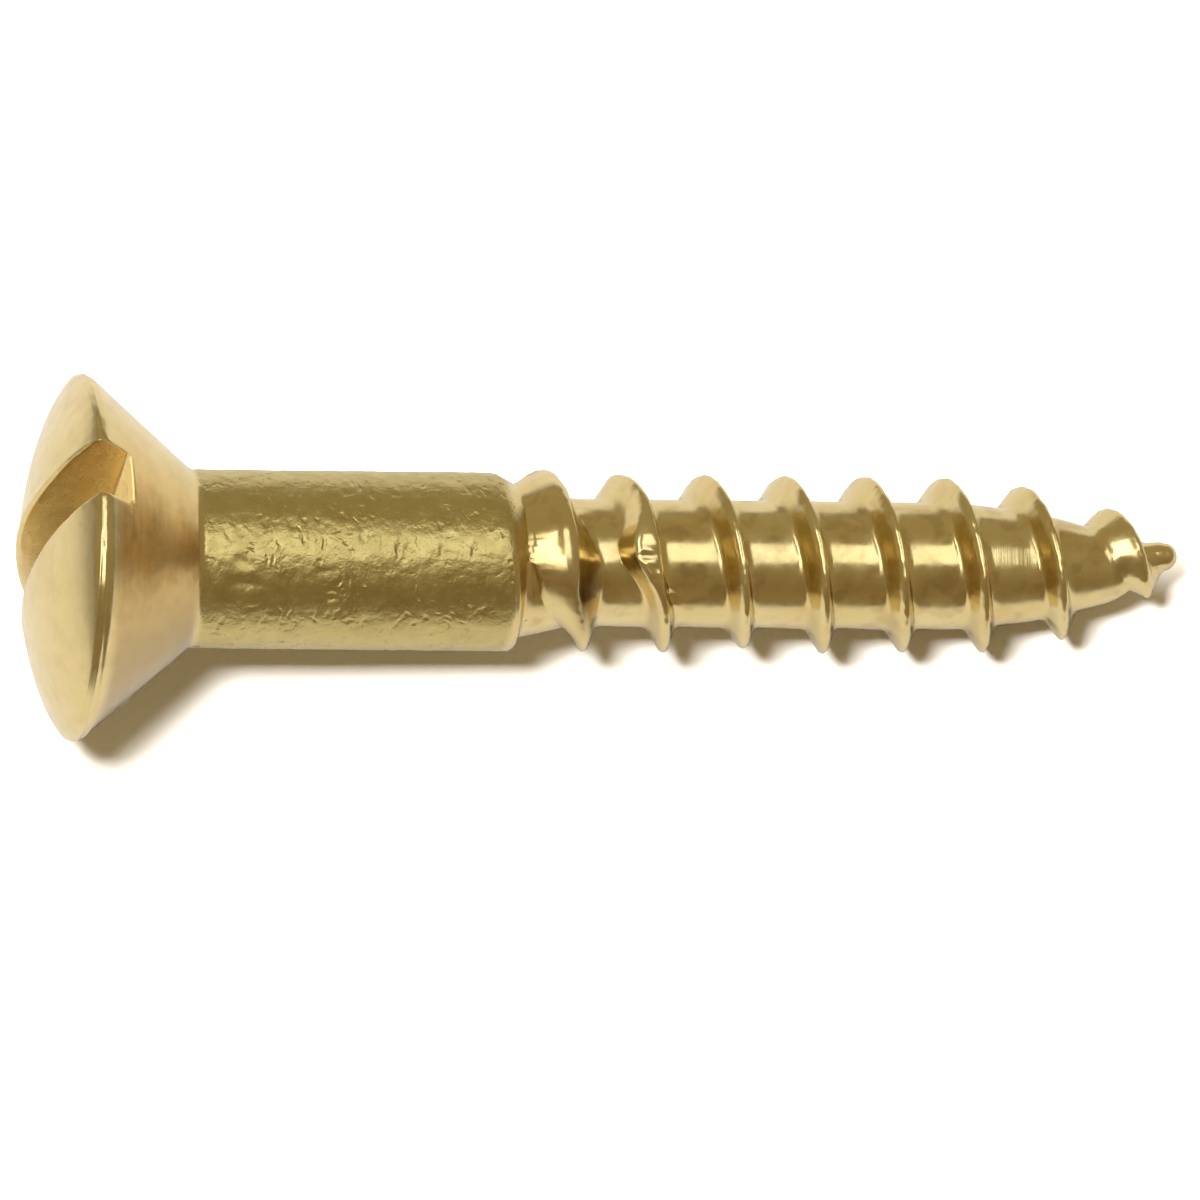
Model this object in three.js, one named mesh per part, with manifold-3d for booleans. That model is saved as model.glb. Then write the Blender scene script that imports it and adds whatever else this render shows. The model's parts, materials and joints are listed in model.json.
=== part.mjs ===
// A slotted, oval-head (raised countersunk) brass wood screw with a plain shank, a coarse
// single-start right-hand thread and a gimlet point. It is one piece of brass, lying at rest
// on the plane z = 0 on its head's rim and on one thread crest, with the point towards +X.
//
// The screw is built along its own axis first: X is the distance from the head's rim plane
// towards the point, and angles run from +Y towards +Z. All sizes are in millimetres.

import * as THREE from "three";
import { mergeVertices } from "three/addons/utils/BufferGeometryUtils.js";
import Module from "manifold-3d";

const TURN = 2 * Math.PI;
const DEGREE = Math.PI / 180;

// Head: a low dome over a countersunk cone, with a narrow cylindrical rim between them. The
// dome is flatter than a ball in the middle and turns down harder towards the rim.
const HEAD_RADIUS = 4.2;
const DOME_HEIGHT = 1.29;
const DOME_POWER = 1.54;
const RIM_WIDTH = 0.03;
const CONE_HALF_ANGLE = 41 * DEGREE;
const NECK_FILLET = 0.5;

// Slot: sawn straight across the head, its floor a little past the rim plane.
const SLOT_WIDTH = 1.35;
const SLOT_FLOOR = 0.7;
const SLOT_ANGLE = 16 * DEGREE;

// Shank, and the shoulder where the thread's blank steps down and runs out to the core.
const SHANK_RADIUS = 2.04;
const SHANK_END = 9.8;
const SHOULDER_CHAMFER = 0.1;
const SHOULDER_STEP = 0.24;
const RUN_OUT = 1.3;

// Thread.
const LENGTH = 25.4;
const CORE_RADIUS = 1.46;
const CREST_HEIGHT = 0.57;
const CREST_WIDTH = 0.08;
const HEAD_SIDE_FLANK = 0.38;
const TIP_SIDE_FLANK = 0.27;
const ROOT_SINK = 0.3;
const PITCH = 1.86;
const FIRST_CREST = 10.75;
const FADE_IN_START = -0.75;
const FADE_IN_TURNS = 1;

// Gimlet point: the core thins along a power curve that aims past the blunt end.
const TAPER_START = 19.5;
const TAPER_AIM = 25.9;
const TAPER_POWER = 2.1;
const NOSE_LENGTH = 0.3;
const THREAD_FADE_OUT = 0.55;

// Facets.
const STEPS_PER_TURN = 36;
const DOME_STEPS = 9;
const FILLET_STEPS = 4;
const TAPER_STEPS = 12;
const NOSE_STEPS = 4;

const BRASS_COLOUR = 0xc9a85c;
const BRASS_ROUGHNESS = 0.3;
const BRASS_METALNESS = 1;

const wasm = await Module();
wasm.setup();

// From 0 at 'from' to 1 at 'to', with level ends.
function ease(value, from, to) {
  return THREE.MathUtils.smoothstep(value, from, to);
}

// Radius of the threaded part's core at a distance along the axis.
function coreRadius(along) {
  const taper = Math.max(0, (along - TAPER_START) / (TAPER_AIM - TAPER_START));
  return CORE_RADIUS * Math.max(0, 1 - taper ** TAPER_POWER);
}

// Half-outline of the head's dome, from its top on the axis to the rim.
function domeOutline() {
  const points = [];
  for (let step = 0; step <= DOME_STEPS; step += 1) {
    const angle = (TURN / 4) * (step / DOME_STEPS);
    const height = DOME_HEIGHT * Math.max(0, Math.cos(angle)) ** DOME_POWER;
    points.push(new THREE.Vector2(HEAD_RADIUS * Math.sin(angle), -height));
  }
  return points;
}

// Half-outline from the rim down the countersink and round the fillet on to the shank.
function neckOutline() {
  const slope = Math.tan(CONE_HALF_ANGLE);
  const coneEnd = RIM_WIDTH + (HEAD_RADIUS - SHANK_RADIUS) / slope;
  const reach = NECK_FILLET * Math.tan(CONE_HALF_ANGLE / 2);
  const centre = new THREE.Vector2(SHANK_RADIUS + NECK_FILLET, coneEnd + reach);
  const points = [new THREE.Vector2(HEAD_RADIUS, RIM_WIDTH)];
  for (let step = 0; step <= FILLET_STEPS; step += 1) {
    const angle = CONE_HALF_ANGLE * (1 - step / FILLET_STEPS);
    const radius = centre.x - NECK_FILLET * Math.cos(angle);
    points.push(new THREE.Vector2(radius, centre.y - NECK_FILLET * Math.sin(angle)));
  }
  return points;
}

// Half-outline of the shank's end, its shoulder, the run-out and the core as far as the nose.
function coreOutline() {
  const bevelled = SHANK_RADIUS - SHOULDER_CHAMFER;
  const points = [
    new THREE.Vector2(SHANK_RADIUS, SHANK_END - SHOULDER_CHAMFER),
    new THREE.Vector2(bevelled, SHANK_END),
    new THREE.Vector2(SHANK_RADIUS - SHOULDER_STEP, SHANK_END + SHOULDER_CHAMFER),
    new THREE.Vector2(CORE_RADIUS, SHANK_END + RUN_OUT),
  ];
  const noseStart = LENGTH - NOSE_LENGTH;
  for (let step = 0; step <= TAPER_STEPS; step += 1) {
    const along = THREE.MathUtils.lerp(TAPER_START, noseStart, step / TAPER_STEPS);
    points.push(new THREE.Vector2(coreRadius(along), along));
  }
  const noseRadius = coreRadius(noseStart);
  for (let step = 1; step <= NOSE_STEPS; step += 1) {
    const angle = (TURN / 4) * (step / NOSE_STEPS);
    const along = noseStart + NOSE_LENGTH * Math.sin(angle);
    points.push(new THREE.Vector2(noseRadius * Math.cos(angle), along));
  }
  points[points.length - 1].x = 0;
  return points;
}

// The whole screw before its thread and slot, turned about the X axis.
function blankGeometry() {
  const outline = [...domeOutline(), ...neckOutline(), ...coreOutline()];
  const geometry = new THREE.LatheGeometry(outline, STEPS_PER_TURN);
  return geometry.rotateZ(-TURN / 4);
}

// Section of the thread's ridge: x runs along the screw's axis and y outwards from the core,
// as a share of the ridge's full height.
function ridgeSection() {
  const half = CREST_WIDTH / 2;
  return new THREE.Shape([
    new THREE.Vector2(-half - HEAD_SIDE_FLANK, -ROOT_SINK),
    new THREE.Vector2(half + TIP_SIDE_FLANK, -ROOT_SINK),
    new THREE.Vector2(half + TIP_SIDE_FLANK, 0),
    new THREE.Vector2(half, 1),
    new THREE.Vector2(-half, 1),
    new THREE.Vector2(-half - HEAD_SIDE_FLANK, 0),
  ]);
}

// The ridge is extruded straight, one unit of depth for each turn, and then wound round the
// axis: it rises out of the run-out below the shoulder and dies away at the nose.
function threadGeometry() {
  const lastTurn = (LENGTH - NOSE_LENGTH / 2 - FIRST_CREST) / PITCH;
  const turns = lastTurn - FADE_IN_START;
  const geometry = new THREE.ExtrudeGeometry(ridgeSection(), {
    depth: turns,
    steps: Math.round(turns * STEPS_PER_TURN),
    bevelEnabled: false,
  });
  const position = geometry.attributes.position;
  for (let index = 0; index < position.count; index += 1) {
    const turn = FADE_IN_START + position.getZ(index);
    const crestAlong = FIRST_CREST + PITCH * turn;
    const rise = ease(turn, FADE_IN_START, FADE_IN_START + FADE_IN_TURNS);
    const fall = 1 - ease(crestAlong, LENGTH - THREAD_FADE_OUT - NOSE_LENGTH / 2, LENGTH);
    const along = crestAlong + position.getX(index) * fall;
    const level = position.getY(index);
    const height = level > 0 ? level * CREST_HEIGHT * rise * fall : 0;
    const sink = level < 0 ? 1 + level : 1;
    const radius = coreRadius(along) * sink + height;
    const angle = TURN * turn;
    position.setXYZ(index, along, radius * Math.cos(angle), radius * Math.sin(angle));
  }
  return geometry;
}

// A bar as wide as the slot, lying across the head with its underside on the slot's floor.
function slotGeometry() {
  const length = 3 * HEAD_RADIUS;
  const depth = 2 * DOME_HEIGHT + SLOT_FLOOR;
  const geometry = new THREE.BoxGeometry(depth, SLOT_WIDTH, length);
  geometry.translate(SLOT_FLOOR - depth / 2, 0, 0);
  return geometry.rotateX(-SLOT_ANGLE);
}

// A closed solid from a geometry: vertices merged, and the slivers on the axis left out.
function toSolid(geometry) {
  geometry.deleteAttribute("normal");
  geometry.deleteAttribute("uv");
  const merged = mergeVertices(geometry);
  const corners = [];
  for (let face = 0; face < merged.index.count; face += 3) {
    const [a, b, c] = [0, 1, 2].map((corner) => merged.index.getX(face + corner));
    if (a !== b && b !== c && c !== a) {
      corners.push(a, b, c);
    }
  }
  return new wasm.Manifold(
    new wasm.Mesh({
      numProp: 3,
      vertProperties: new Float32Array(merged.attributes.position.array),
      triVerts: new Uint32Array(corners),
    }),
  );
}

function toGeometry(solid) {
  const mesh = solid.getMesh();
  const geometry = new THREE.BufferGeometry();
  geometry.setAttribute("position", new THREE.BufferAttribute(mesh.vertProperties, 3));
  geometry.setIndex(new THREE.BufferAttribute(mesh.triVerts, 1));
  geometry.computeVertexNormals();
  return geometry;
}

// How far the axis dips towards the point when the rim and a thread crest both touch a plane.
function restingTilt(geometry) {
  const position = geometry.attributes.position;
  let tilt = TURN / 4;
  for (let index = 0; index < position.count; index += 1) {
    const along = position.getX(index) - RIM_WIDTH;
    if (along > SHANK_END) {
      tilt = Math.min(tilt, Math.atan2(position.getZ(index) + HEAD_RADIUS, along));
    }
  }
  return tilt;
}

function brass() {
  return new THREE.MeshStandardMaterial({
    color: BRASS_COLOUR,
    roughness: BRASS_ROUGHNESS,
    metalness: BRASS_METALNESS,
  });
}

function screw() {
  const blank = toSolid(blankGeometry());
  const thread = toSolid(threadGeometry());
  const slot = toSolid(slotGeometry());
  const geometry = toGeometry(blank.add(thread).subtract(slot));
  const mesh = new THREE.Mesh(geometry, brass());
  mesh.name = "screw";
  mesh.rotation.y = restingTilt(geometry);
  return mesh;
}

// The screw lies on z = 0, with the middle of its bounding box over the origin.
const group = new THREE.Group();
group.add(screw());
const box = new THREE.Box3().setFromObject(group, true);
const middle = box.getCenter(new THREE.Vector3());
group.position.set(-middle.x, -middle.y, -box.min.z);

export default group;
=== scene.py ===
"""A slotted oval-head brass wood screw on a pale floor, under soft studio light.

The screw is one piece. Its fine mesh is made here in the screw's own frame, in millimetres:
'along' is the distance from the head's rim plane towards the point, 'side' is level, and 'up'
completes the set. Angles round the axis run from 'side' towards 'up'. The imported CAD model
says where that frame lies in the world.
"""

import json
import math

import bmesh
import bpy
import numpy as np
from mathutils import Matrix, Vector, noise
from mathutils.kdtree import KDTree


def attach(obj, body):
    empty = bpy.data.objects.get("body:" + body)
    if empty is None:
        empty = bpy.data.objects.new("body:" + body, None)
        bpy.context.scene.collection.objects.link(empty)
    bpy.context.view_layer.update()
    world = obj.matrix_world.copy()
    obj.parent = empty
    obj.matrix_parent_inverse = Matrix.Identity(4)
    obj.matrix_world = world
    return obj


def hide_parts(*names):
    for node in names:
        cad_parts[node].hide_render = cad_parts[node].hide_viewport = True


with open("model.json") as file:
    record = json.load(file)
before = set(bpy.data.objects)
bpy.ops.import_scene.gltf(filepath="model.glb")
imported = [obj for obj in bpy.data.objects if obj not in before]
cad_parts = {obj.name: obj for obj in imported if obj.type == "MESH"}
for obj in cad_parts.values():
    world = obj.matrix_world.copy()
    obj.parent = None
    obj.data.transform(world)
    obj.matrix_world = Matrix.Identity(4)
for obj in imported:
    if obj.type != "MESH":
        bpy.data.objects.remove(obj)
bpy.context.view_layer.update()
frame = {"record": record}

MM = 0.001
TURN = 2 * math.pi
DEGREE = math.pi / 180

# Viewing direction: leaned towards the head and towards -Y from straight above the axis.
VIEW_LEAN_TO_HEAD = 10.3 * DEGREE
VIEW_LEAN_TO_FRONT = 14 * DEGREE
VIEW_ROLL = 0.57 * DEGREE
VIEW_WIDTH = 27.31
VIEW_CENTRE_RIGHT = 11.869
VIEW_CENTRE_UP = -0.967
VIEW_DISTANCE = 600
SENSOR_WIDTH = 36
CLIP_END_METRES = 10

# Head.
HEAD_RADIUS = 4.2
DOME_HEIGHT = 1.29
DOME_POWER = 0.77
RIM_START = -0.1
RIM_END = 0.05
CONE_SLOPE = math.tan(41 * DEGREE)
NECK_FILLET = 0.35

# Slot: sawn straight across the head.
SLOT_WIDTH = 1.35
SLOT_FLOOR = 0.7
SLOT_ANGLE = 74 * DEGREE

# Shank and its oblique shoulder, whose bevel is longest at one angle round the axis.
SHANK_RADIUS = 2.04
SHOULDER_MIDDLE = 9.77
SHOULDER_SLANT = 0.22
SHOULDER_SLANT_ANGLE = 14 * DEGREE
SHOULDER_SLANT_START = 8.2
SHOULDER_END = 10.09
RUN_OUT_RADIUS = 1.76
RUN_OUT_SLOPE = 0.234

# Thread. The rounding at a flank's foot dies away over ROOT_FADE flank widths beyond it.
LENGTH = 25.5
CORE_RADIUS = 1.46
CREST_HEIGHT = 0.57
CREST_HALF_WIDTH = 0.065
HEAD_SIDE_FLANK = 0.38
TIP_SIDE_FLANK = 0.26
ROOT_ROUNDING = 0.04
ROOT_FADE = 1.2
PITCH = 1.86
FIRST_CREST = 10.75
FADE_IN_START = -0.75
FADE_IN_TURNS = 1.0
SHOULDER_CLEARANCE = 0.35

# The crest leans towards the head, and is rolled over towards the point on its upper side.
CREST_LEAN = -0.09
ROLL_ANGLE = 104 * DEGREE
ROLL_POWER = 3
ROLL_LEAN = 0.15
ROLL_FLANK = -0.2

# Where the ridge changes for good: turn where that starts, turn where it is full, and by how much.
LEAN_AT_POINT = (6.5, 7.1, 0.2)
HEAD_FLANK_AT_SHOULDER = (0.55, 0.3, 0.5)

# Uneven places on the ridge: turn, reach in turns, and by how much it changes there.
LEAN_CHANGES = [(0.29, 0.12, -0.25), (1.03, 0.08, -0.14), (1.27, 0.08, -0.3)]
HALF_WIDTH_CHANGES = [(0.26, 0.14, 0.08), (1.26, 0.07, 0.18)]
TIP_FLANK_CHANGES = [(0.3, 0.11, 0.55)]
HEAD_FLANK_CHANGES = [(7.2, 0.16, 0.25)]
HEIGHT_CHANGES = [(2.54, 0.1, -0.2), (4.5, 0.15, -0.08)]

# Gimlet point, thinned behind its blunt end and bent over to one side.
TAPER_START = 19.5
TAPER_AIM = 25.9
TAPER_POWER = 2.1
NOSE_START = 25.2
POINT_THINNING = 0.11
POINT_THINNING_MIDDLE = 24.75
POINT_THINNING_REACH = 0.3
HOOK_START = 23.9
HOOK_END = 25.2
HOOK_REACH = 0.28
HOOK_ANGLE = 14 * DEGREE
THREAD_FADE_OUT = 24.75
THREAD_END = 25.4

# How fine the mesh is. A tightness draws the lines together towards both ends of a stretch.
# The columns are lined up with the slot's walls before the first of the two distances in
# EVEN_COLUMNS, and evenly spread after the second.
LAND_COLUMNS = 92
LAND_TIGHTNESS = 0.8
SLOT_COLUMNS = 12
SLOT_TIGHTNESS = 0.6
DOME_ROWS = 34
WALL_ROWS = 12
RIM_ROWS = 5
CONE_ROWS = 24
CONE_ROW_POWER = 1.5
FILLET_START = 2.3
FILLET_ROWS = 10
EVEN_COLUMNS = (0.8, 2.4)
SHANK_STEP = 0.085
SHOULDER_ROWS = 10
SHOULDER_TIGHTNESS = 0.7
ROWS_PER_STRETCH = (6, 5, 3, 4, 5)
STRETCH_TIGHTNESS = 0.88
SPARE_TURNS = 2
NOSE_ROWS = 10
WELD_DISTANCE = 1e-5

# Rounded edges: which edges, how far round each kind, and how strongly. The head's edges are
# told from the shoulder's by their place along the axis.
SHARP_ANGLE = 20 * DEGREE
HEAD_EDGES_END = 5
RIM_ROUNDING = 0.07
LIP_ROUNDING = 0.06
SHOULDER_ROUNDING = 0.05
CREST_ROUNDING = 0.03
RIM_BAND = 0.3
RIM_BAND_DEPTH = 0.4
SOFTEN_SHARE = 0.9
SOFTEN_CORE = 0.2
SOFTEN_PASSES = 20

# The head sits askew, and the saw pushed one edge of the slot outwards. The burr is nothing at
# the first distance along the axis in LIP_BURR_FADE, and full at the second.
HEAD_CANT = 0.014
CANT_END = 2.6
LIP_BURR = 0.12
LIP_BURR_REACH = 0.14
LIP_BURR_MIDDLE = 0.2
LIP_BURR_LENGTH = 1.6
LIP_BURR_FADE = (0, -0.6)

# Zones along the screw. Each fades in over its first pair of distances and out over its second.
SHANK_WEAR = (2.5, 2.8, 9.8, 9.6)
SHANK_DENTED = (2.7, 3.0, 9.65, 9.4)
SHANK_FINISH = (2.5, 2.68, 9.85, 9.7)
# The neck's zone, where painted reflection and painted shade lie on the countersink.
NECK_PAINTED_ZONE = (0.15, 0.5, 2.65, 2.3)

# Unevenness: size of the bumps, seed, and their heights everywhere, and then how much is added
# on the shank, on the thread's crests and on the slot's lips. The rim gets RIM_SHARE of what the
# lips get. NOISE_STEPS sets the seeds' places in the noise apart.
BUMPS = [
    (0.9, 1, 0.006, 0, 0, 0),
    (0.34, 2, 0.002, 0.009, 0.012, 0.016),
    (0.15, 3, 0.001, 0.006, 0.01, 0.014),
]
NOISE_STEPS = (17.3, 5.9, 9.1)
RIM_SHARE = 0.5
CREST_BORDER = (0.3, 0.5)
THREAD_BORDER = 0.1
LIP_REACH = 0.08
LIP_DEPTH = 0.2
RIM_REACH = 0.12
RIM_EDGE = (4.0, 4.1)

# Section of a dent: a hollow with a lower, wider border round it.
HOLLOW_DEPTH = 1.2
BORDER_HEIGHT = 0.45
BORDER_SPREAD = 0.4

# Dents on the shank's upper side: place along it, angle, length, width, lean and depth.
SHANK_DENTS = [
    (3.2, 91, 0.17, 0.07, 60, 0.024),
    (3.5, 106, 0.25, 0.08, 25, 0.022),
    (3.55, 120, 0.34, 0.15, 8, 0.05),
    (4.05, 96, 0.20, 0.08, -50, 0.024),
    (4.6, 80, 0.22, 0.06, 80, 0.022),
    (5.5, 128, 0.32, 0.12, 15, 0.045),
    (5.3, 112, 0.25, 0.08, -20, 0.024),
    (6.25, 88, 0.45, 0.05, 70, 0.024),
    (6.7, 93, 0.30, 0.05, 95, 0.022),
    (6.75, 111, 0.30, 0.05, 110, 0.022),
    (7.2, 97, 0.22, 0.07, 35, 0.022),
    (8.2, 99, 0.40, 0.05, -5, 0.016),
    (8.9, 101, 0.35, 0.05, 5, 0.016),
]
SHANK_DENT_STRENGTH = 1.6

# Dents scattered all over the shank.
LOOSE_DENTS = 260
LOOSE_DENT_SEED = 8
LOOSE_DENT_PLACES = (2.9, 9.4)
LOOSE_DENT_LENGTHS = (0.08, 0.3)
LOOSE_DENT_WIDTHS = (0.05, 0.1)
LOOSE_DENT_DEPTHS = (0.004, 0.016)

# Hollows on and beside the second ridge, in the same terms as the shank's dents.
TORN_PLACES = [
    (12.74, 99, 0.09, 0.09, 0, 0.12),
    (12.95, 90, 0.22, 0.06, 60, 0.05),
    (13.05, 109, 0.20, 0.06, 115, 0.05),
    (13.50, 133, 0.08, 0.22, 0, 0.10),
]

# Pit beside the first ridge.
PIT_PLACE = 11.5
PIT_REACH = 0.25
PIT_ANGLE = 2.18
PIT_ANGLE_REACH = 0.42
PIT_DEPTH = 0.13

# Patches on the neck of painted reflection, on its side facing the camera, and of painted shade,
# on its front side: angle round the axis, and reach.
PAINTED_REFLECTION_PLACE = (1.75, 0.5)
PAINTED_SHADE_PLACE = (2.7, 0.6)

# Borders of the material's zones: where each one is nothing, and where it is full. The slot's
# are measured from its wall, from the dome's surface and from the slot's floor, and the root's
# from the thread's core and from the shoulder's end.
INSIDE_WALL = (0.02, -0.04)
INSIDE_DOME = (0.02, 0.3)
ABOVE_FLOOR = (0.06, 0)
NEAR_FLOOR = (0.08, 0.01)
NEAR_CORE = (0.22, 0.04)
PAST_SHOULDER = (0, 0.2)

# Colours.
BRASS = (0.74, 0.60, 0.28, 1)
PALE_BRASS = (0.77, 0.635, 0.32, 1)
OLIVE_BRASS = (0.53, 0.435, 0.165, 1)
RED_BRASS = (0.70, 0.50, 0.23, 1)
SAWN_BRASS = (0.96, 0.76, 0.33, 1)
# Warm brown painted reflection on the countersink's side facing the camera.
PAINTED_REFLECTION_BROWN = (0.72, 0.42, 0.12, 1)
# Dark brown painted shade on the countersink's front side.
PAINTED_SHADE_BROWN = (0.42, 0.31, 0.15, 1)
# Near black painted shade in the pit beside the first ridge.
PIT_PAINTED_SHADE = (0.10, 0.045, 0.015, 1)
STAIN = (0.36, 0.23, 0.09, 1)

# Noise that varies the material, on coordinates in millimetres, and the values of it between
# which each patch goes from nothing to full. A stretch multiplies 'along', 'side' and 'up'.
PATCHES = {"scale": 0.55, "detail": 3}
PALE_BORDER = (0.42, 0.62)
PAINTED_REFLECTION_BORDER = (0.3, 0.55)
RED_PATCHES = {"scale": 0.8, "detail": 4, "rough": 0.6}
RED_STRETCH = (1.0, 1.3, 1.3)
RED_BORDER = (0.52, 0.68)
BLOTS = {"scale": 1.7, "detail": 3}
BLOT_BORDER = (0.5, 0.66)
CLOUDS = {"scale": 2.5, "detail": 4, "rough": 0.6}
CLOUD_BORDER = (0.3, 0.7)
RINGS = {"scale": 1.0, "detail": 3, "rough": 0.7}
RING_STRETCH = (9.0, 0.35, 0.35)
STRUCK_PATCHES = {"scale": 0.8}
STRUCK_BORDER = (0.38, 0.56)
GRAIN = {"scale": 5.0, "detail": 3, "rough": 0.65}

# Nicks: stretch and size of each kind, and how ragged their outlines are.
LONG_NICKS = ((4.4, 1.8, 1.8), 0.4)
ROUND_NICKS = ((2.0, 2.6, 2.6), 0.32)
RAGGED = {"scale": 1.3}
RAGGEDNESS = 3.0

# How much of each colour covers the one under it.
RED_SHARE = 0.55
OLIVE_SHARE = 0.8
PAINTED_REFLECTION_SHARES = (0.55, 1)
PAINTED_SHADE_SHARE = 0.9
SAWN_SHARE = 0.8
PIT_SHADE_SHARE = 0.95
STAIN_SHARE = 0.1
SLOT_STAIN_SHARE = 0.15
ROOT_STAIN_SHARE = 0.2

# Finish of the metal: roughness in its smooth and cloudy places, how much rougher each zone is,
# and how much less metallic the sawn slot looks.
CLOUDY_ROUGHNESS = (0.14, 0.27)
ZONE_ROUGHNESS = {"shank": 0.13, "slot": 0.2, "slot_floor": 0.25}
SAWN_DULLNESS = 0.45

# The material's fine relief: depths in metres, how much of each shows on plain brass, and how
# much the shank and the thread's roots change that.
TURNING_DEPTH = 5e-6
TURNING_ON_BRASS = 0.25
TURNING_LOST_ON_SHANK = 0.15
TURNING_ADDED_AT_ROOT = 0.6
NICK_DEPTH = 1.9e-5
SPARSE_NICKS = 0.25
GRAIN_DEPTH = 2.5e-5
GRAIN_ON_BRASS = 0.06
GRAIN_ADDED_ON_SHANK = 0.94

# Floor, in metres. The eye sees one colour, and the brass mirrors two others, near and far; the
# darker far one is painted shade, for light falling off away from the screw.
FLOOR_SIZE = 3.0
FLOOR_ROUGHNESS = 0.9
FLOOR_SEEN = (0.9, 0.86, 0.80, 1)
FLOOR_NEAR = (0.34, 0.33, 0.32, 1)
FLOOR_FAR = (0.135, 0.13, 0.125, 1)
PALE_FLOOR_RADIUS = 0.018
GREY_FLOOR_RADIUS = 0.05

# Softboxes, all at one height in metres: the angles, in degrees from straight overhead, at
# which the left, right, front and back edges are seen from the screw; radiance; and colour.
LIGHT_HEIGHT = 0.3
FLOOR_LAMPS = {
    "floor_key": ((-22, -10, -8, 0), 174.0, (1, 1, 1)),
    "floor_fill": ((-26, -6, 0, 32), 20.0, (1, 1, 1)),
}
SHEEN_LAMPS = {
    "sheen_left": ((-50, -8, -27, 24), 2.2, (1, 1, 1)),
    "sheen_right": ((-8, 32, -11, 24), 1.3, (0.95, 1.0, 1.05)),
}

# Colours of the room, from the front, at 0, to the back, at 1.
ROOM_COLOURS = [
    (0.0, (0.31, 0.225, 0.12)),
    (0.1, (0.26, 0.19, 0.1)),
    (0.33, (0.33, 0.26, 0.15)),
    (0.5, (0.36, 0.29, 0.17)),
    (0.9, (0.38, 0.31, 0.17)),
    (1.0, (0.42, 0.34, 0.2)),
]


# ---------------------------------------------------------------- curves


def ease(value, start, end):
    """From 0 at start to 1 at end, with level ends."""
    t = np.clip((value - start) / (end - start), 0, 1)
    return t * t * (3 - 2 * t)


def hump(value, middle, reach):
    """1 at the middle, falling away to nothing on both sides."""
    return np.exp(-(((value - middle) / reach) ** 2))


def zone(along, borders):
    """1 inside a zone along the screw and 0 outside it."""
    return ease(along, *borders[:2]) * ease(along, *borders[2:])


def clustered(count, tightness):
    """Numbers from 0 to 1, closer together near both ends."""
    t = np.linspace(0, 1, count + 1)
    return t - tightness * np.sin(TURN * t) / TURN


# ---------------------------------------------------------------- the screw's own frame


def screw_frame():
    """Matrix from the screw's own frame in millimetres to the world in metres."""
    mount = frame["record"]["mounts"][0]
    along = -Vector(mount["axis"]).normalized()
    side = Vector((0, 1, 0))
    up = along.cross(side)
    origin = Vector(mount["pos_m"]) - along * SLOT_FLOOR * MM
    place = Matrix((along * MM, side * MM, up * MM)).transposed().to_4x4()
    place.translation = origin
    return place


def around(points):
    """Distance of each point from the axis, and its angle round it."""
    return np.hypot(points[:, 1], points[:, 2]), np.arctan2(points[:, 2], points[:, 1])


def across_slot(points):
    """Distance of each point from the slot's middle plane."""
    return points[:, 2] * math.cos(SLOT_ANGLE) - points[:, 1] * math.sin(SLOT_ANGLE)


def along_slot(points):
    """Distance of each point from the axis, measured along the slot."""
    return points[:, 1] * math.cos(SLOT_ANGLE) + points[:, 2] * math.sin(SLOT_ANGLE)


# ---------------------------------------------------------------- outline of the screw


def dome_top(radius):
    """Where the dome's surface lies along the axis, at a distance from the axis."""
    share = np.clip(1 - (radius / HEAD_RADIUS) ** 2, 0, 1)
    return RIM_START - (DOME_HEIGHT + RIM_START) * share**DOME_POWER


def cone_radius(along):
    """The rim and the countersink."""
    return HEAD_RADIUS - CONE_SLOPE * np.maximum(0, along - RIM_END)


def neck_end():
    """Where the neck's fillet meets the shank."""
    cone_end = RIM_END + (HEAD_RADIUS - SHANK_RADIUS) / CONE_SLOPE
    return cone_end + NECK_FILLET * math.tan(math.atan(CONE_SLOPE) / 2)


def neck_radius(along):
    """Countersink, fillet and shank."""
    start = neck_end() - NECK_FILLET * math.sin(math.atan(CONE_SLOPE))
    reach = np.clip(neck_end() - along, 0, NECK_FILLET)
    fillet = SHANK_RADIUS + NECK_FILLET - np.sqrt(NECK_FILLET**2 - reach**2)
    return np.where(along < start, cone_radius(along), fillet)


def core_radius(along):
    """The threaded part between its ridges, with the run-out and the taper."""
    taper = np.clip((along - TAPER_START) / (TAPER_AIM - TAPER_START), 0, 1)
    core = CORE_RADIUS * (1 - taper**TAPER_POWER)
    core = core - POINT_THINNING * hump(along, POINT_THINNING_MIDDLE, POINT_THINNING_REACH)
    run_out = RUN_OUT_RADIUS - RUN_OUT_SLOPE * (along - SHOULDER_END)
    return np.maximum(core, run_out)


def shoulder_edge(angle):
    """Where the shank's end starts to fall away, all round."""
    return SHOULDER_MIDDLE - SHOULDER_SLANT * np.cos(angle - SHOULDER_SLANT_ANGLE)


def changes(turn, places):
    """How much the uneven places add up to at a turn."""
    return sum(amount * hump(turn, middle, reach) for middle, reach, amount in places)


def lasting_change(turn, change):
    """How much of a change for good has come about by a turn."""
    first, last, amount = change
    return amount * ease(turn, first, last)


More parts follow.
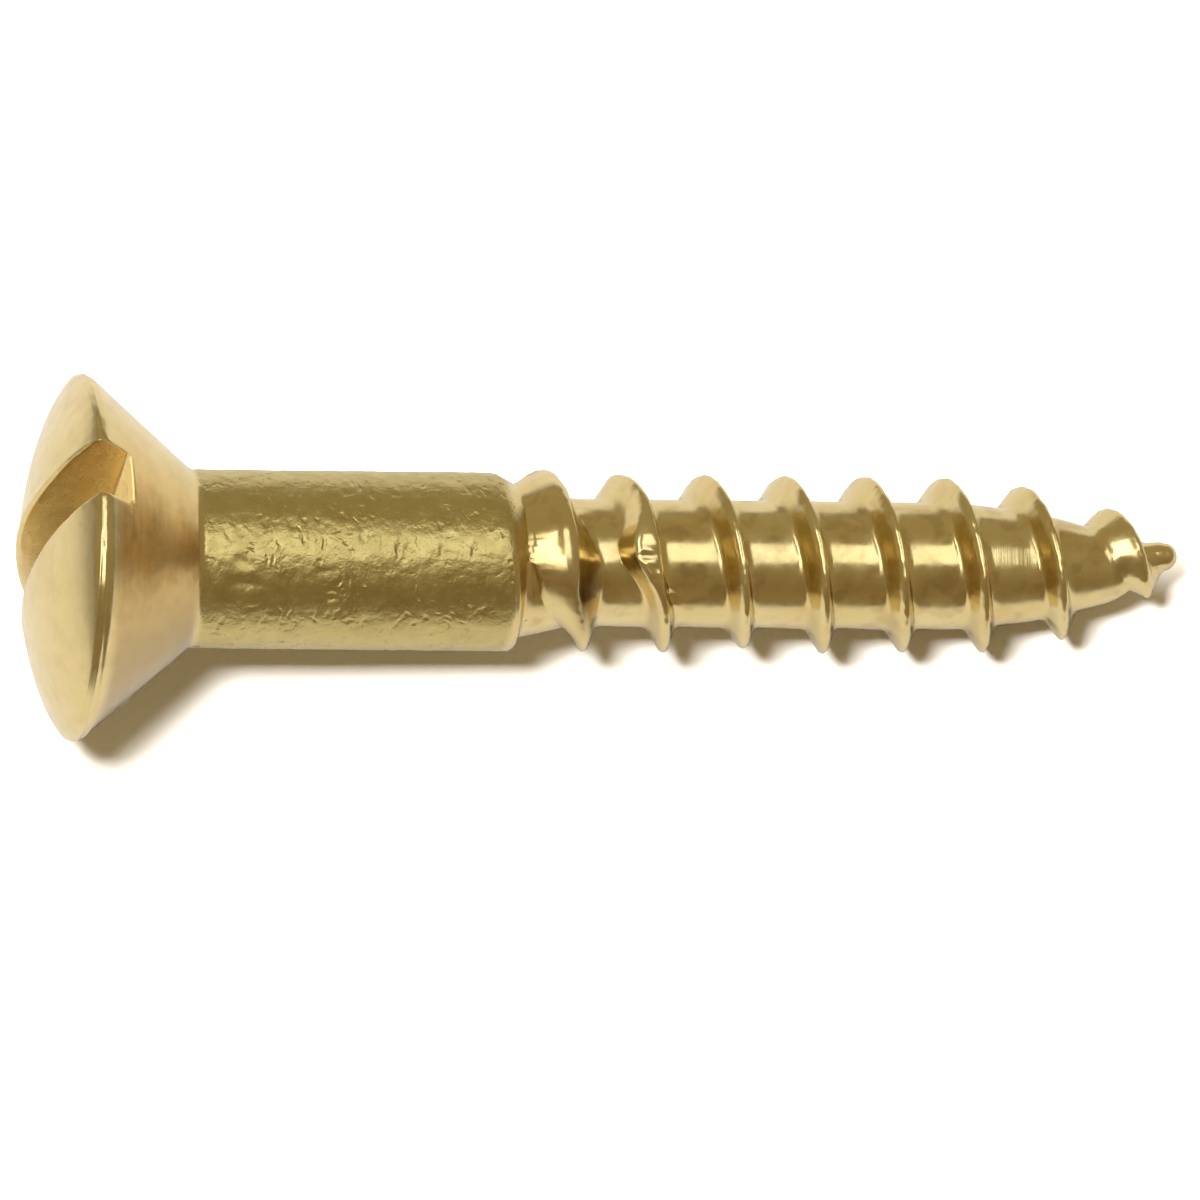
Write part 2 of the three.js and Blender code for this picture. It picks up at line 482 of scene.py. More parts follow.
def ridge_shape(turn):
    """Lean of the crest towards the point, its half width, and the widths of its two flanks."""
    rolled = ((1 + np.cos(TURN * turn - ROLL_ANGLE)) / 2) ** ROLL_POWER
    lean = CREST_LEAN + ROLL_LEAN * rolled + changes(turn, LEAN_CHANGES)
    lean = lean + lasting_change(turn, LEAN_AT_POINT)
    half_width = CREST_HALF_WIDTH + changes(turn, HALF_WIDTH_CHANGES)
    head_flank = HEAD_SIDE_FLANK + changes(turn, HEAD_FLANK_CHANGES)
    head_flank = head_flank + lasting_change(turn, HEAD_FLANK_AT_SHOULDER)
    tip_flank = TIP_SIDE_FLANK + ROLL_FLANK * rolled + changes(turn, TIP_FLANK_CHANGES)
    return lean, half_width, head_flank, tip_flank


def ridge_height(along, angle):
    """How far the thread's ridge stands over the core."""
    offset = along - FIRST_CREST - PITCH * angle / TURN
    ridge = np.round(offset / PITCH)
    turn = angle / TURN + ridge
    lean, half_width, head_flank, tip_flank = ridge_shape(turn)
    across = offset - ridge * PITCH - lean
    flank = np.where(across < 0, head_flank, tip_flank)
    level = 1 - np.maximum(0, np.abs(across) - half_width) / flank
    section = (level + np.sqrt(level**2 + ROOT_ROUNDING**2)) / 2
    section = np.minimum(section, 1) * ease(level, -ROOT_FADE, 0)
    start = ease(along, SHOULDER_END, SHOULDER_END + SHOULDER_CLEARANCE)
    rise = ease(turn, FADE_IN_START, FADE_IN_START + FADE_IN_TURNS)
    fall = 1 - ease(along, THREAD_FADE_OUT, THREAD_END)
    worn = 1 + changes(turn, HEIGHT_CHANGES)
    return CREST_HEIGHT * section * start * rise * fall * worn


# ---------------------------------------------------------------- grids of points


def land_angles(radius):
    """Angles from one wall of the slot round to the other, at that radius."""
    corner = math.asin(SLOT_WIDTH / 2 / radius)
    return corner + (math.pi - 2 * corner) * clustered(LAND_COLUMNS, LAND_TIGHTNESS)


def slot_lines():
    """Distances from the slot's middle plane of the lines that run along the slot."""
    return SLOT_WIDTH / 2 * (2 * clustered(SLOT_COLUMNS, SLOT_TIGHTNESS) - 1)


def land_lines():
    """Distances along the slot of the lines that run square to it over the dome."""
    return HEAD_RADIUS * np.cos(land_angles(HEAD_RADIUS))


def ring_angles(radius):
    """Angles of the columns round a ring of that radius, lined up with the slot's walls."""
    mouth = np.arcsin(slot_lines() / radius)
    half_ring = np.concatenate([mouth, land_angles(radius)[1:]])
    return SLOT_ANGLE + np.concatenate([half_ring, math.pi + half_ring[1:]])


def even_angles():
    """The same columns, evenly spread."""
    start = SLOT_ANGLE - math.asin(SLOT_WIDTH / 2 / cone_radius(SLOT_FLOOR))
    return start + np.linspace(0, TURN, 2 * (LAND_COLUMNS + SLOT_COLUMNS) + 1)


def on_ring(along, angle, radius):
    """Points from distance along the axis, angle and radius."""
    along, angle, radius = np.broadcast_arrays(along, angle, radius)
    return np.stack([along, radius * np.cos(angle), radius * np.sin(angle)], axis=-1)


def on_slot(along, length, across):
    """Points from distance along the axis, and distances along and across the slot."""
    along, length, across = np.broadcast_arrays(along, length, across)
    side = length * math.cos(SLOT_ANGLE) - across * math.sin(SLOT_ANGLE)
    up = length * math.sin(SLOT_ANGLE) + across * math.cos(SLOT_ANGLE)
    return np.stack([along, side, up], axis=-1)


def notch_rows():
    """Distances along the axis of the rows from the dome's edge to the slot's floor."""
    rim = np.linspace(RIM_START, RIM_END, RIM_ROWS + 1)
    wall = RIM_END + (SLOT_FLOOR - RIM_END) * clustered(WALL_ROWS, LAND_TIGHTNESS)
    return np.concatenate([rim, wall[1:]])


def dome_grid(hand):
    """Half of the dome, from the slot's lip to the rim."""
    half = SLOT_WIDTH / 2
    length = land_lines()[None, :]
    reach = np.sqrt(np.maximum(0, HEAD_RADIUS**2 - length**2))
    share = clustered(DOME_ROWS, LAND_TIGHTNESS)[:, None]
    across = half + np.maximum(0, reach - half) * share
    radius = np.minimum(HEAD_RADIUS, np.hypot(length, across))
    return on_slot(dome_top(radius), length, hand * across)


def wall_grid(hand):
    """One wall of the slot, from its lip to its floor."""
    half = SLOT_WIDTH / 2
    lines = land_lines()
    top = dome_top(np.minimum(HEAD_RADIUS, np.hypot(lines, half)))[None, :]
    rows = notch_rows()[:, None]
    length = np.sqrt(cone_radius(rows) ** 2 - half**2) * (lines / lines[0])[None, :]
    along = top + (SLOT_FLOOR - top) * (rows - RIM_START) / (SLOT_FLOOR - RIM_START)
    return on_slot(along, length, hand * half)


def floor_grid():
    """The slot's floor."""
    across = slot_lines()[:, None]
    lines = land_lines()
    reach = np.sqrt(cone_radius(SLOT_FLOOR) ** 2 - across**2)
    return on_slot(SLOT_FLOOR, reach * (lines / lines[0])[None, :], across)


def notched_cone_grid(half_turn):
    """The rim and countersink beside the slot, as far down as its floor."""
    grid = []
    for along in notch_rows():
        radius = float(cone_radius(along))
        grid.append(on_ring(along, SLOT_ANGLE + half_turn + land_angles(radius), radius))
    return np.array(grid)


def shank_grid():
    """From the slot's floor down the countersink, round the neck and along the shank."""
    aligned = ring_angles(float(cone_radius(SLOT_FLOOR)))
    even = even_angles()
    down_cone = np.linspace(0, 1, CONE_ROWS) ** CONE_ROW_POWER
    cone = SLOT_FLOOR + (FILLET_START - SLOT_FLOOR) * down_cone
    fillet = np.linspace(FILLET_START, neck_end(), FILLET_ROWS)[1:]
    steps = round((SHOULDER_MIDDLE - neck_end()) / SHANK_STEP)
    shank = np.linspace(neck_end(), SHOULDER_MIDDLE, steps)[1:]
    rows = np.concatenate([cone, fillet, shank])[:, None]
    angles = aligned + (even - aligned) * ease(rows, *EVEN_COLUMNS)
    slanted = ease(rows, SHOULDER_SLANT_START, SHOULDER_MIDDLE)
    rows = rows + (shoulder_edge(angles) - SHOULDER_MIDDLE) * slanted
    return on_ring(rows, angles, neck_radius(rows))


def shoulder_grid():
    """The oblique shoulder: a long bevel on one side and a sharp step on the other."""
    angles = even_angles()[None, :]
    share = clustered(SHOULDER_ROWS, SHOULDER_TIGHTNESS)[:, None]
    edge = shoulder_edge(angles)
    along = edge + (SHOULDER_END - edge) * share
    drop = SHANK_RADIUS - RUN_OUT_RADIUS
    return on_ring(along, angles, SHANK_RADIUS - drop * share)


def ridge_rows(turn):
    """Distances along the axis of the rows that follow one turn of the ridge."""
    lean, half_width, head_flank, tip_flank = ridge_shape(turn)
    middle = FIRST_CREST + PITCH * turn
    head_edge = middle + lean - half_width
    tip_edge = middle + lean + half_width
    stops = [middle - PITCH / 2, head_edge - head_flank, head_edge]
    stops += [tip_edge, tip_edge + tip_flank, middle + PITCH / 2]
    rows = []
    for start, end, count in zip(stops, stops[1:], ROWS_PER_STRETCH):
        shares = clustered(count, STRETCH_TIGHTNESS)[:-1]
        rows += [start + (end - start) * share for share in shares]
    return rows


def thread_grid():
    """The threaded part, on rows that follow the roots and edges of the ridge."""
    angles = even_angles()
    rows = []
    turns = math.ceil((NOSE_START - SHOULDER_END) / PITCH)
    for ridge in range(-SPARE_TURNS, turns + SPARE_TURNS):
        rows += ridge_rows(ridge + angles / TURN)
    along = np.clip(np.array(rows), SHOULDER_END, NOSE_START)
    used = (along.max(axis=1) > SHOULDER_END) & (along.min(axis=1) < NOSE_START)
    first, last = np.flatnonzero(used)[[0, -1]]
    along = along[max(0, first - 1) : last + 2]
    angles = angles[None, :]
    return on_ring(along, angles, core_radius(along) + ridge_height(along, angles))


def nose_grid():
    """The blunt end."""
    angles = even_angles()[None, :]
    swing = np.linspace(0, 1, NOSE_ROWS)[:, None] * TURN / 4
    along = NOSE_START + (LENGTH - NOSE_START) * np.sin(swing)
    start = core_radius(NOSE_START) + ridge_height(NOSE_START, angles)
    return on_ring(along, angles, start * np.cos(swing))


# ---------------------------------------------------------------- wear and marks


def hooked(points):
    """The point is bent over a little to one side."""
    bend = HOOK_REACH * ease(points[:, 0], HOOK_START, HOOK_END)
    points[:, 1] += bend * math.cos(HOOK_ANGLE)
    points[:, 2] += bend * math.sin(HOOK_ANGLE)
    return points


def canted(points):
    """The head sits slightly askew on the shank."""
    points[:, 0] += HEAD_CANT * points[:, 1] * ease(points[:, 0], CANT_END, 0)
    return points


def edge_reach(points):
    """How far from a sharp edge the surface is rounded, at each point."""
    along = points[:, 0]
    radius, _ = around(points)
    reach = np.where(along < HEAD_EDGES_END, LIP_ROUNDING, SHOULDER_ROUNDING)
    reach = np.where(along > SHOULDER_END, CREST_ROUNDING, reach)
    rim = (np.abs(along) < RIM_BAND) & (radius > HEAD_RADIUS - RIM_BAND_DEPTH)
    return np.where(rim, RIM_ROUNDING, reach)


def softened(points, edges, sharp):
    """Round off the sharp edges, each over its own reach."""
    tree = KDTree(len(sharp))
    for index in sharp:
        tree.insert(points[index], index)
    tree.balance()
    distance = np.array([tree.find(point)[2] for point in points])
    weight = SOFTEN_SHARE * ease(distance / edge_reach(points), 1, SOFTEN_CORE)[:, None]
    first, second = edges[:, 0], edges[:, 1]
    count = len(points)
    neighbours = np.bincount(edges.ravel(), minlength=count)[:, None]
    for _ in range(SOFTEN_PASSES):
        total = np.empty_like(points)
        for axis in range(3):
            here = points[:, axis]
            total[:, axis] = np.bincount(first, here[second], count)
            total[:, axis] += np.bincount(second, here[first], count)
        points = points + weight * (total / neighbours - points)
    return points


def noise_at(points, size, seed):
    """Smooth random numbers from about -1 to 1 that change over the given size."""
    shift = Vector([seed * step for step in NOISE_STEPS])
    return np.array([noise.noise(Vector(point) / size + shift) for point in points])


def mark(along, angle, radius, place, turn, length, width, lean):
    """A long or round dent with raised borders, three quarters of a unit deep."""
    away = along - place
    round_way = (np.mod(angle - turn + TURN / 2, TURN) - TURN / 2) * radius
    lengthways = (away * math.cos(lean) + round_way * math.sin(lean)) / length
    crossways = (round_way * math.cos(lean) - away * math.sin(lean)) / width
    spread = lengthways**2 + crossways**2
    return BORDER_HEIGHT * np.exp(-BORDER_SPREAD * spread) - HOLLOW_DEPTH * np.exp(-spread)


def listed_marks(along, angle, radius, marks):
    """The dents of a table, whose angles are in degrees."""
    height = np.zeros_like(along)
    for place, turn, length, width, lean, depth in marks:
        shape = mark(along, angle, radius, place, turn * DEGREE, length, width, lean * DEGREE)
        height += depth * shape
    return height


def shank_relief(along, angle, radius):
    """Dents and scratches all over the shank."""
    height = SHANK_DENT_STRENGTH * listed_marks(along, angle, radius, SHANK_DENTS)
    draw = np.random.default_rng(LOOSE_DENT_SEED)
    for _ in range(LOOSE_DENTS):
        place = draw.uniform(*LOOSE_DENT_PLACES)
        length = draw.uniform(*LOOSE_DENT_LENGTHS)
        width = draw.uniform(*LOOSE_DENT_WIDTHS)
        depth = draw.uniform(*LOOSE_DENT_DEPTHS)
        turn, lean = draw.uniform(0, TURN, 2)
        height += depth * mark(along, angle, radius, place, turn, length, width, lean)
    return height * zone(along, SHANK_DENTED)


def pit(along, angle):
    """1 in the middle of the pit beside the first ridge."""
    return hump(along, PIT_PLACE, PIT_REACH) * hump(angle, PIT_ANGLE, PIT_ANGLE_REACH)


def thread_relief(along, angle, radius):
    """The pit and the torn places, where the thread's cutter dragged the metal."""
    torn = listed_marks(along, angle, radius, TORN_PLACES)
    return torn - PIT_DEPTH * pit(along, angle)


def raised_lip(points):
    """How far the sawn edge of the slot is pushed out of the head, on one side."""
    along_lip = hump(along_slot(points), LIP_BURR_MIDDLE, LIP_BURR_LENGTH)
    place = hump(across_slot(points), -SLOT_WIDTH / 2, LIP_BURR_REACH) * along_lip
    return LIP_BURR * place * ease(points[:, 0], *LIP_BURR_FADE)


def under_dome(points):
    """How far each point lies below the dome's surface, along the axis."""
    radius, _ = around(points)
    return points[:, 0] - dome_top(np.minimum(radius, HEAD_RADIUS))


def relief(points):
    """How far each point stands out from the plain shape, along the surface's normal."""
    along = points[:, 0]
    radius, angle = around(points)
    on_shank = zone(along, SHANK_WEAR)
    on_thread = ease(along, SHOULDER_END - THREAD_BORDER, SHOULDER_END + THREAD_BORDER)
    on_crest = on_thread * ease(radius - core_radius(along), *CREST_BORDER)
    on_lip = hump(np.abs(across_slot(points)), SLOT_WIDTH / 2, LIP_REACH)
    on_lip = on_lip * hump(under_dome(points), 0, LIP_DEPTH)
    on_rim = hump(along, 0, RIM_REACH) * ease(radius, *RIM_EDGE)
    on_edge = on_lip + RIM_SHARE * on_rim
    height = shank_relief(along, angle, radius) * on_shank
    height += thread_relief(along, angle, radius) * on_thread
    for size, seed, plain, shank, crest, edge in BUMPS:
        bumps = plain + shank * on_shank + crest * on_crest + edge * on_edge
        height += bumps * noise_at(points, size, seed)
    return height


# ---------------------------------------------------------------- the mesh


def welded_mesh(grids):
    """One bmesh from grids of points, with their shared borders joined."""
    mesh = bmesh.new()
    for grid in grids:
        rows, columns = grid.shape[:2]
        verts = [[mesh.verts.new(point) for point in row] for row in grid]
        for i in range(rows - 1):
            for j in range(columns - 1):
                corners = (verts[i][j], verts[i][j + 1], verts[i + 1][j + 1], verts[i + 1][j])
                mesh.faces.new(corners)
    bmesh.ops.remove_doubles(mesh, verts=mesh.verts, dist=WELD_DISTANCE)
    bmesh.ops.dissolve_degenerate(mesh, edges=mesh.edges, dist=WELD_DISTANCE)
    bmesh.ops.recalc_face_normals(mesh, faces=mesh.faces)
    return mesh


def sharp_points(mesh):
    """Indices of the vertices on edges that bend sharply."""
    mesh.verts.index_update()
    found = set()
    for edge in mesh.edges:
        if len(edge.link_faces) == 2 and edge.calc_face_angle() > SHARP_ANGLE:
            found.update(vert.index for vert in edge.verts)
    return sorted(found)


def read(values, name, width, kind=np.float64):
    """A named value of every vertex or edge, one row each."""
    numbers = np.empty(width * len(values), kind)
    values.foreach_get(name, numbers)
    return numbers.reshape(-1, width)


def store(data, name, kind, field, values):
    """Keep a value for every vertex, for the material to read."""
    attribute = data.attributes.new(name, kind, "POINT")
    attribute.data.foreach_set(field, np.ascontiguousarray(values, np.float32).ravel())


def material_zones(points):
    """How far each point belongs to each of the zones that the material tells apart."""
    along = points[:, 0]
    radius, angle = around(points)
    past_floor = along - SLOT_FLOOR
    inside = ease(np.abs(across_slot(points)) - SLOT_WIDTH / 2, *INSIDE_WALL)
    inside_head = inside * ease(under_dome(points), *INSIDE_DOME)
    thread = ease(along - SHOULDER_END, *PAST_SHOULDER)
    neck = zone(along, NECK_PAINTED_ZONE)
    return {
        # The pit's place also carries painted shade in the colour.
        "pit": pit(along, angle),
        # Painted shade on the neck's front side.
        "painted_shade": neck * hump(angle, *PAINTED_SHADE_PLACE),
        # Painted reflection on the neck's side facing the camera.
        "painted_reflection": neck * hump(angle, *PAINTED_REFLECTION_PLACE),
        "shank": zone(along, SHANK_FINISH),
        "slot": inside_head * ease(past_floor, *ABOVE_FLOOR),
        "slot_floor": inside * ease(np.abs(past_floor), *NEAR_FLOOR),
        "root": thread * ease(radius - core_radius(along), *NEAR_CORE),
    }


def all_grids():
    """Every part of the screw's surface."""
    grids = [dome_grid(1), dome_grid(-1), wall_grid(1), wall_grid(-1), floor_grid()]
    grids += [notched_cone_grid(0), notched_cone_grid(math.pi)]
    grids += [shank_grid(), shoulder_grid(), thread_grid(), nose_grid()]
    return grids


def screw_mesh():
    """The plain shape, then its zones, rounded edges, relief, and bent head and point."""
    mesh = welded_mesh(all_grids())
    sharp = sharp_points(mesh)
    data = bpy.data.meshes.new("screw_fine")
    mesh.to_mesh(data)
    mesh.free()
    points = read(data.vertices, "co", 3)
    store(data, "place", "FLOAT_VECTOR", "vector", points)
    for name, values in material_zones(points).items():
        store(data, name, "FLOAT", "value", values)
    points = softened(points, read(data.edges, "vertices", 2, np.int32), sharp)
    data.vertices.foreach_set("co", points.ravel())
    normals = read(data.vertex_normals, "vector", 3)
    points = points + normals * relief(points)[:, None]
    points[:, 0] -= raised_lip(points)
    points = hooked(canted(points))
    data.vertices.foreach_set("co", points.ravel())
    data.transform(screw_frame())
    data.shade_smooth()
    return data


# ---------------------------------------------------------------- materials


class Tree:
    """Short calls for adding nodes to a material."""

    def __init__(self, name):
        self.material = bpy.data.materials.new(name)
        self.material.use_nodes = True
        self.nodes = self.material.node_tree.nodes
        self.links = self.material.node_tree.links
        self.shader = self.nodes["Principled BSDF"]

    def join(self, value, socket):
        """Link a socket, or set a number or colour."""
        if isinstance(value, bpy.types.NodeSocket):
            self.links.new(value, socket)
        else:
            socket.default_value = value

    def attribute(self, name, output="Fac"):
        """A value that is stored in the mesh."""
        node = self.nodes.new("ShaderNodeAttribute")
        node.attribute_name = name
        return node.outputs[output]

    def noise(self, vector, scale, detail=2, rough=0.5):
        """Smooth noise, from 0 to 1."""
        node = self.nodes.new("ShaderNodeTexNoise")
        self.join(vector, node.inputs["Vector"])
        node.inputs["Scale"].default_value = scale
        node.inputs["Detail"].default_value = detail
        node.inputs["Roughness"].default_value = rough
        return node.outputs["Fac"]

    def math(self, operation, first, second):
        """Any other operation on two numbers."""
        node = self.nodes.new("ShaderNodeMath")
        node.operation = operation
        self.join(first, node.inputs[0])
        self.join(second, node.inputs[1])
        return node.outputs[0]

    def plus(self, first, second):
        """Two numbers added."""
        return self.math("ADD", first, second)

    def times(self, first, second):
        """Two numbers multiplied."""
        return self.math("MULTIPLY", first, second)

    def vector_math(self, operation, first, second):
        """An operation on two vectors."""
        node = self.nodes.new("ShaderNodeVectorMath")
        node.operation = operation
        self.join(first, node.inputs[0])
        self.join(second, node.inputs[1])
        return node.outputs[0]

    def spread(self, value, start, end, low=0.0, high=1.0):
        """Smoothly from low at start to high at end."""
        node = self.nodes.new("ShaderNodeMapRange")
        node.interpolation_type = "SMOOTHSTEP"
        self.join(value, node.inputs["Value"])
        node.inputs["From Min"].default_value = start
        node.inputs["From Max"].default_value = end
        node.inputs["To Min"].default_value = low
        node.inputs["To Max"].default_value = high
        return node.outputs["Result"]

    def mix(self, share, first, second):
        """From the first colour to the second."""
        node = self.nodes.new("ShaderNodeMix")
        node.data_type = "RGBA"
        self.join(share, node.inputs["Factor"])
        self.join(first, node.inputs["A"])
        self.join(second, node.inputs["B"])
        return node.outputs["Result"]

    def pits(self, vector, stretch, edge):
        """Scattered hollows with ragged outlines, from 0 down to -1."""
        ragged = self.times(self.noise(vector, **RAGGED), RAGGEDNESS)
        node = self.nodes.new("ShaderNodeTexVoronoi")
        node.inputs["Scale"].default_value = 1
        spaced = self.vector_math("MULTIPLY", vector, stretch)
        self.join(self.vector_math("ADD", spaced, ragged), node.inputs["Vector"])
        return self.spread(node.outputs["Distance"], 0, edge, low=-1, high=0)

    def bump(self, height, distance, normal=None):
        """Relief of that depth in metres, on top of another."""
        node = self.nodes.new("ShaderNodeBump")
        node.inputs["Strength"].default_value = 1.0
        node.inputs["Distance"].default_value = distance
        self.join(height, node.inputs["Height"])
        if normal is not None:
            self.join(normal, node.inputs["Normal"])
        return node.outputs["Normal"]


def stains(tree, place):
    """Faint stains all over, deeper in the slot and at the thread's roots."""
    blots = tree.spread(tree.noise(place, **BLOTS), *BLOT_BORDER)
    slot = tree.times(tree.attribute("slot"), SLOT_STAIN_SHARE)
    root = tree.times(tree.attribute("root"), ROOT_STAIN_SHARE)
    return tree.times(blots, tree.plus(tree.math("MAXIMUM", slot, root), STAIN_SHARE))


def brass_colour(tree, place):
    """Plain brass with paler and redder patches, each zone's own colour, painted reflection and
    painted shade on the neck, stains, and painted shade in the pit.
    """
    patches = tree.noise(place, **PATCHES)
    colour = tree.mix(tree.spread(patches, *PALE_BORDER), BRASS, PALE_BRASS)
    stretched = tree.vector_math("MULTIPLY", place, RED_STRETCH)
    red = tree.spread(tree.noise(stretched, **RED_PATCHES), *RED_BORDER)
    colour = tree.mix(tree.times(red, RED_SHARE), colour, RED_BRASS)
    # How much painted reflection lies on the neck's side facing the camera, broken up by the
    # patches.
    broken = tree.spread(patches, *PAINTED_REFLECTION_BORDER, *PAINTED_REFLECTION_SHARES)
    layers = [
        ("shank", OLIVE_SHARE, OLIVE_BRASS),
        # The neck's two patches paint a reflection on its side facing the camera and shade on its
        # front side.
        ("painted_reflection", broken, PAINTED_REFLECTION_BROWN),
        ("painted_shade", PAINTED_SHADE_SHARE, PAINTED_SHADE_BROWN),
        ("slot", SAWN_SHARE, SAWN_BRASS),
    ]
    for name, share, layer in layers:
        colour = tree.mix(tree.times(tree.attribute(name), share), colour, layer)
    colour = tree.mix(stains(tree, place), colour, STAIN)
    # The pit is painted near black: painted shade in the hollow.
    return tree.mix(tree.times(tree.attribute("pit"), PIT_SHADE_SHARE), colour, PIT_PAINTED_SHADE)


def brass_roughness(tree, place):
    """Satin metal, rougher on the shank and where the saw went."""
    rough = tree.spread(tree.noise(place, **CLOUDS), *CLOUD_BORDER, *CLOUDY_ROUGHNESS)
    for name, extra in ZONE_ROUGHNESS.items():
        rough = tree.plus(rough, tree.times(tree.attribute(name), extra))
    return rough


def turning_marks(tree, place, shank):
    """Fine rings round the screw, fainter on the shank and deeper at the thread's roots."""
    turned = tree.noise(tree.vector_math("MULTIPLY", place, RING_STRETCH), **RINGS)
    lost = tree.times(shank, TURNING_LOST_ON_SHANK)
    added = tree.times(tree.attribute("root"), TURNING_ADDED_AT_ROOT)
    depth = tree.plus(tree.math("SUBTRACT", TURNING_ON_BRASS, lost), added)
    return tree.times(turned, depth)


def shank_nicks(tree, place, shank):
    """Long nicks and round ones, denser in some places than in others."""
    nicks = tree.plus(tree.pits(place, *LONG_NICKS), tree.pits(place, *ROUND_NICKS))
    struck = tree.spread(tree.noise(place, **STRUCK_PATCHES), *STRUCK_BORDER, SPARSE_NICKS)
    return tree.times(tree.times(nicks, struck), shank)


def grain(tree, place, shank):
    """A fine grain, strong on the shank and faint elsewhere."""
    strength = tree.plus(GRAIN_ON_BRASS, tree.times(shank, GRAIN_ADDED_ON_SHANK))
    return tree.times(tree.noise(place, **GRAIN), strength)


def brass_normal(tree, place):
    """All the fine relief of the metal."""
    shank = tree.attribute("shank")
    normal = tree.bump(turning_marks(tree, place, shank), TURNING_DEPTH)
    normal = tree.bump(shank_nicks(tree, place, shank), NICK_DEPTH, normal)
    return tree.bump(grain(tree, place, shank), GRAIN_DEPTH, normal)


def brass_material():
    """Bare brass, duller where it is sawn."""
    tree = Tree("brass")
    place = tree.attribute("place", "Vector")
    sawn = tree.times(tree.attribute("slot"), SAWN_DULLNESS)
    tree.join(tree.math("SUBTRACT", 1.0, sawn), tree.shader.inputs["Metallic"])
    tree.join(brass_colour(tree, place), tree.shader.inputs["Base Color"])
    tree.join(brass_roughness(tree, place), tree.shader.inputs["Roughness"])
    tree.join(brass_normal(tree, place), tree.shader.inputs["Normal"])
    return tree.material


def floor_material():
    """Pale to the eye. What the brass mirrors is greyer, with painted shade darkening it further
    off.
    """
    tree = Tree("pale_floor")
    node = tree.nodes.new("ShaderNodeVectorMath")
    node.operation = "LENGTH"
    tree.join(tree.nodes.new("ShaderNodeTexCoord").outputs["Object"], node.inputs[0])
    # Painted shade: what the brass mirrors darkens away from the screw, for the light falling off.
    far = tree.spread(node.outputs["Value"], PALE_FLOOR_RADIUS, GREY_FLOOR_RADIUS)
    seen = tree.nodes.new("ShaderNodeLightPath").outputs["Is Camera Ray"]
    colour = tree.mix(seen, tree.mix(far, FLOOR_NEAR, FLOOR_FAR), FLOOR_SEEN)
    tree.join(colour, tree.shader.inputs["Base Color"])
    tree.shader.inputs["Roughness"].default_value = FLOOR_ROUGHNESS
    tree.shader.inputs["Specular IOR Level"].default_value = 0
    return tree.material


# ---------------------------------------------------------------- pieces


def make_screw():
    """The one piece, in place of the plain CAD screw."""
    piece = bpy.data.objects.new("screw_body", screw_mesh())
    bpy.context.scene.collection.objects.link(piece)
    piece.data.materials.append(brass_material())
    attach(piece, "root")
    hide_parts("screw")


def make_floor():
    """A wide flat floor under the screw."""
    half = FLOOR_SIZE / 2
    data = bpy.data.meshes.new("floor")
    corners = [(-half, -half, 0), (half, -half, 0), (half, half, 0), (-half, half, 0)]
    data.from_pydata(corners, [], [(0, 1, 2, 3)])
    data.materials.append(floor_material())
    floor = bpy.data.objects.new("floor", data)
    bpy.context.scene.collection.objects.link(floor)


# ---------------------------------------------------------------- camera and light


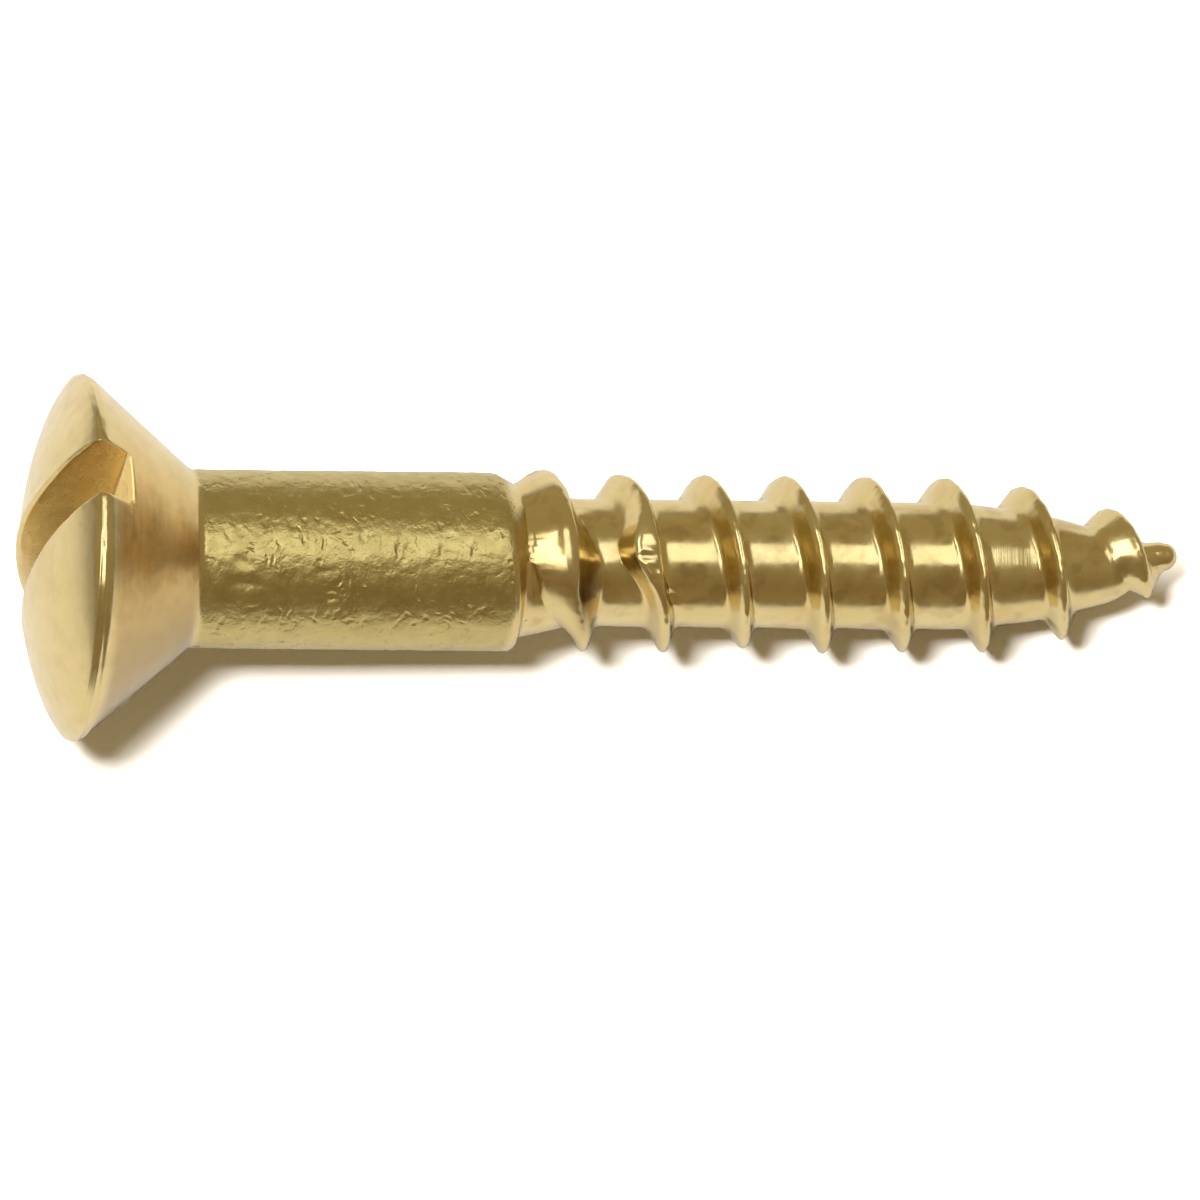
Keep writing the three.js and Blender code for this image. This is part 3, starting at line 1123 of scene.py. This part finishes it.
def make_camera():
    """A long lens, nearly straight above the screw."""
    place = screw_frame()
    along, side, up = (Vector(place.col[i][:3]).normalized() for i in range(3))
    above = math.cos(VIEW_LEAN_TO_FRONT) * up - math.sin(VIEW_LEAN_TO_FRONT) * side
    back = math.cos(VIEW_LEAN_TO_HEAD) * above - math.sin(VIEW_LEAN_TO_HEAD) * along
    level_up = math.cos(VIEW_LEAN_TO_FRONT) * side + math.sin(VIEW_LEAN_TO_FRONT) * up
    level_right = level_up.cross(back)
    right = math.cos(VIEW_ROLL) * level_right + math.sin(VIEW_ROLL) * level_up
    image_up = back.cross(right)
    centre = place.translation + (VIEW_CENTRE_RIGHT * right + VIEW_CENTRE_UP * image_up) * MM
    data = bpy.data.cameras.new("camera")
    data.sensor_width = SENSOR_WIDTH
    data.lens = SENSOR_WIDTH * VIEW_DISTANCE / VIEW_WIDTH
    data.clip_end = CLIP_END_METRES
    camera = bpy.data.objects.new("camera", data)
    turn = Matrix((right, image_up, back)).transposed().to_4x4()
    camera.matrix_world = Matrix.Translation(centre + back * VIEW_DISTANCE * MM) @ turn
    bpy.context.scene.collection.objects.link(camera)
    bpy.context.scene.camera = camera


def make_softbox(name, angles, radiance, colour):
    """A level rectangular lamp that covers those angles, seen from the screw."""
    left, right, front, back = (LIGHT_HEIGHT * math.tan(angle * DEGREE) for angle in angles)
    data = bpy.data.lights.new(name, "AREA")
    data.shape = "RECTANGLE"
    data.size = right - left
    data.size_y = back - front
    data.color = colour
    data.energy = radiance * math.pi * data.size * data.size_y
    lamp = bpy.data.objects.new(name, data)
    lamp.location = ((left + right) / 2, (front + back) / 2, LIGHT_HEIGHT)
    bpy.context.scene.collection.objects.link(lamp)
    return lamp


def make_world():
    """A dim warm room, darker towards the front."""
    world = bpy.data.worlds.new("room")
    world.use_nodes = True
    nodes, links = world.node_tree.nodes, world.node_tree.links
    direction = nodes.new("ShaderNodeTexCoord")
    parts = nodes.new("ShaderNodeSeparateXYZ")
    ramp = nodes.new("ShaderNodeValToRGB")
    shift = nodes.new("ShaderNodeMapRange")
    shift.inputs["From Min"].default_value = -1
    shift.inputs["From Max"].default_value = 1
    elements = ramp.color_ramp.elements
    ready = len(elements)
    for index, (place, colour) in enumerate(ROOM_COLOURS):
        element = elements[index] if index < ready else elements.new(place)
        element.position = place
        element.color = (*colour, 1)
    links.new(direction.outputs["Generated"], parts.inputs[0])
    links.new(parts.outputs["Y"], shift.inputs["Value"])
    links.new(shift.outputs["Result"], ramp.inputs["Fac"])
    links.new(ramp.outputs["Color"], nodes["Background"].inputs["Color"])
    bpy.context.scene.world = world


def make_light():
    """Two lamps light the floor from the left, and two dimmer ones are mirrored in the brass."""
    for name, settings in FLOOR_LAMPS.items():
        make_softbox(name, *settings).visible_glossy = False
    for name, settings in SHEEN_LAMPS.items():
        make_softbox(name, *settings).visible_diffuse = False
    make_world()
    bpy.context.scene.view_settings.view_transform = "Standard"


make_camera()
make_floor()
make_light()
make_screw()
